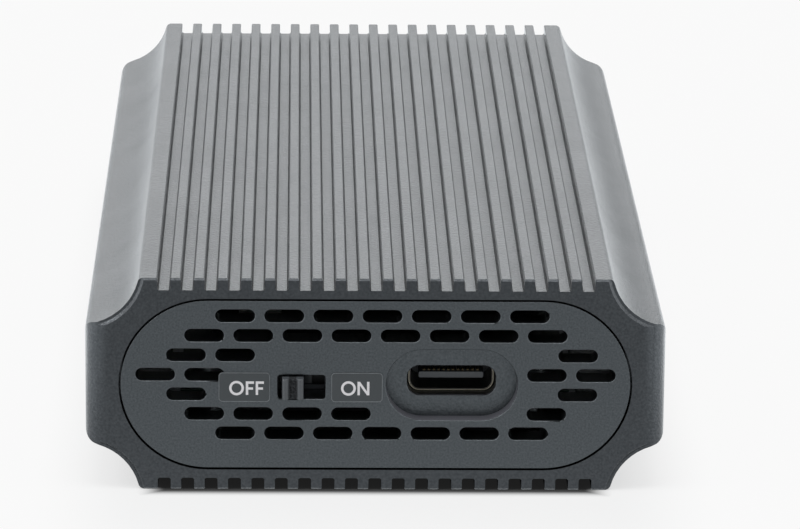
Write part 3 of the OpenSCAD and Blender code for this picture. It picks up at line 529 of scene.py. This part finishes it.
# a bevelled, smoothly shaded copy of a CAD node that stands for it
def dress(node, mat, body, bevel, rim):
    mesh = nodes[node].data.copy()
    mesh.attributes.remove(mesh.attributes["custom_normal"])    # they don't fit bevelled faces
    bm = bmesh.new()
    bm.from_mesh(mesh)
    bmesh.ops.remove_doubles(bm, verts=bm.verts, dist=skin["merge"] * mm)
    bmesh.ops.dissolve_limit(bm, angle_limit=math.radians(skin["flat"]), verts=bm.verts, edges=bm.edges)
    sharp = math.radians(skin["edge"])
    weight = bm.edges.layers.float.new("bevel_weight_edge")     # only edges that stand out are bevelled
    for edge in bm.edges:
        if edge.is_manifold and edge.is_convex and edge.calc_face_angle(0) > sharp:
            mid = (edge.verts[0].co + edge.verts[1].co) / 2 / mm
            beyond = rim and max(abs(mid.x) - rim["straight"], 0)
            onRim = rim and math.hypot(beyond, mid.z - rim["centre"]) > rim["radius"]
            edge[weight] = rim["ease"] if onRim else 1
    bm.to_mesh(mesh)
    bm.free()
    mesh.shade_smooth()
    mesh.set_sharp_from_angle(angle=sharp)
    mesh.materials.clear()
    mesh.materials.append(mat)
    obj = bpy.data.objects.new(node + "_skin", mesh)
    bpy.context.scene.collection.objects.link(obj)
    if bevel > 0:
        mod = obj.modifiers.new("edges", "BEVEL")
        mod.width = bevel * mm
        mod.segments = skin["segments"]
        mod.limit_method = "WEIGHT"
        mod.use_clamp_overlap = False
    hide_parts(node)
    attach(obj, body)


bodies = frame["record"]["behaviour"]["bodies"]
bodyOf = {n: b for b, members in bodies.items() for n in members}
for node, (slot, bevel) in dressed.items():
    rim = plateRim if node in ("front_plate", "rear_plate") else None
    dress(node, ownFinish.get(node, finishes[slot]), bodyOf[node], bevel, rim)
print("CAD nodes dressed:", len(dressed))

# printed words: white strokes a hair proud of the films, each letter a row of flat quads
# lengths in mm; a word has its left edge and the gap after each of its letters
words = {
    "capHeight": 1.44, "stroke": 0.25, "thick": 0.015, "baseZ": 10.19,
    "O": {"width": 1.51, "height": 1.54, "steps": 56},
    "F": {"width": 0.84, "arm": 0.26, "midWidth": 0.74, "midLow": 0.56, "midHigh": 0.8},
    "N": {"width": 1.22, "slant": 0.42},
    "OFF": (-14.95, (0.19, 0.17, 0.0)),
    "ON": (-3.53, (0.17, 0.0)),
}
# screen ink dries matt and a little uneven, so the white is soft and slightly grey
inkWhite = fineGrain("screenPrintedInk", "#d4d2d4", "#dcdadc", 0.55, 0.0, 0.12, 0.2)


# ring of n quads: outer and inner ellipse points (cx + a cos t, cz + b sin t)
def ringQuads(cx, cz, width, height, stroke, n):
    t = np.linspace(0, 2 * np.pi, n + 1)
    outer = np.stack([cx + width / 2 * np.cos(t), cz + height / 2 * np.sin(t)], 1)
    inner = np.stack([cx + (width / 2 - stroke) * np.cos(t), cz + (height / 2 - stroke) * np.sin(t)], 1)
    return np.stack([outer[:-1], outer[1:], inner[1:], inner[:-1]], 1)


# one upright rectangle from its left, low, right and high sides
def barQuad(left, low, right, high):
    return [(left, low), (right, low), (right, high), (left, high)]


# a letter's quads from its lower left corner: O is a ring, F is three bars, N is two bars and a slanted one
def letterQuads(letter):
    shape, cap, stroke = words[letter], words["capHeight"], words["stroke"]
    wide = shape["width"]
    if letter == "O":
        return ringQuads(wide / 2, cap / 2, wide, shape["height"], stroke, shape["steps"])
    if letter == "F":
        return np.array([barQuad(0, 0, stroke, cap), barQuad(stroke, cap - shape["arm"], wide, cap),
                         barQuad(stroke, shape["midLow"], shape["midWidth"], shape["midHigh"])])
    right = wide - stroke
    slant = [(stroke, cap), (stroke, cap - shape["slant"]), (right, 0), (right, shape["slant"])]
    return np.array([barQuad(0, 0, stroke, cap), barQuad(right, 0, wide, cap), slant])


# prisms on the quads: their back corners lie on the film's face, their front corners stand proud by thick
def printWord(name, text, film):
    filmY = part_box(film)[0].y / mm
    x, gaps = words[text]
    parts = []
    for letter, gap in zip(text, gaps):
        parts.append(letterQuads(letter) + (x, words["baseZ"]))
        x += words[letter]["width"] + gap
    quads = np.concatenate(parts)
    flat = np.stack([quads[..., 0], np.zeros(quads.shape[:2]), quads[..., 1]], -1)
    both = np.concatenate([flat + (0, filmY - words["thick"], 0), flat + (0, filmY, 0)], 1)
    sides = np.array([[0, 1, 2, 3], [7, 6, 5, 4], [0, 4, 5, 1], [1, 5, 6, 2], [2, 6, 7, 3], [3, 7, 4, 0]])
    faces = (sides[None] + 8 * np.arange(len(quads))[:, None, None]).reshape(-1, 4)
    newPiece(name, both.reshape(-1, 3) * mm, faces, inkWhite, "case")


printWord("offWord", "OFF", "off_label")
printWord("onWord", "ON", "on_label")
print("words printed")

# thin beads in mm that catch the light: the cut edge of each film, and the lip of the port's metal shell
filmEdge = {"radius": 0.4, "bead": 0.04, "proud": 0.6}
portLip = {"radius": 1.17, "bead": 0.04, "proud": 0.8, "wall": 0.3, "inset": 0.09}
# their pale colours paint highlights along these edges: a grey one on the films, a warm one on the port's
# lip
edgeHighlight = fineGrain("cutFilmEdgeHighlight", "#34383b", "#6c7073", 0.45, 0.0, 0.5, 0.3)
lipHighlight = fineGrain("warmLipHighlight", "#6c6658", "#aaa492", 0.3, 1.0, 0.3, 0.4)


# half-round bead of radius b round a rectangle with corners of radius r, on its face at low y
# (x, z) = corner centre + (r - b + b cos p)(cos t, sin t), and y stands out by proud times b sin p
def bead(name, low, high, settings, mat, slot, steps=9, profile=7, smoothAngle=80):
    r, b = settings["radius"], settings["bead"]
    t = np.concatenate([np.linspace(q, q + 1, steps) * np.pi / 2 for q in range(4)])
    quarter = np.repeat(np.arange(4), steps)
    sx = np.array([1, -1, -1, 1])[quarter] * ((high[0] - low[0]) / 2 - r)
    sz = np.array([1, 1, -1, -1])[quarter] * ((high[2] - low[2]) / 2 - r)
    p = np.linspace(0, np.pi, profile)[None, :]
    reach = r - b + b * np.cos(p)
    x = (low[0] + high[0]) / 2 + sx[:, None] + reach * np.cos(t)[:, None]
    z = (low[2] + high[2]) / 2 + sz[:, None] + reach * np.sin(t)[:, None]
    y = low[1] - settings["proud"] * b * np.sin(p) + 0 * x
    n, m = x.shape
    i, j = np.meshgrid(np.arange(n), np.arange(m - 1), indexing="ij")
    k = (i + 1) % n
    faces = np.stack([i * m + j, i * m + j + 1, k * m + j + 1, k * m + j], -1).reshape(-1, 4)
    newPiece(name, np.stack([x, y, z], -1).reshape(-1, 3) * mm, faces, mat, "case", smoothAngle)


# a node's lowest and highest corners in mm
def boxOf(node):
    return [np.array(c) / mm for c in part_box(node)]


bead("offFilmEdge", *boxOf("off_label"), filmEdge, edgeHighlight, "label_film")
bead("onFilmEdge", *boxOf("on_label"), filmEdge, edgeHighlight, "label_film")
# the shell's side tabs widen its box, so the lip is sized from the tongue's back, one wall further out
portLow, portHigh = boxOf("usb_tongue")
shellLow, shellHigh = boxOf("usb_shell")
wall = portLip["wall"] - portLip["inset"]
lipLow = (portLow[0] - wall, shellLow[1], portLow[2] - wall)
lipHigh = (portHigh[0] + wall, shellHigh[1], portHigh[2] + wall)
bead("portLip", lipLow, lipHigh, portLip, lipHighlight, "port_steel")
print("edges laid")
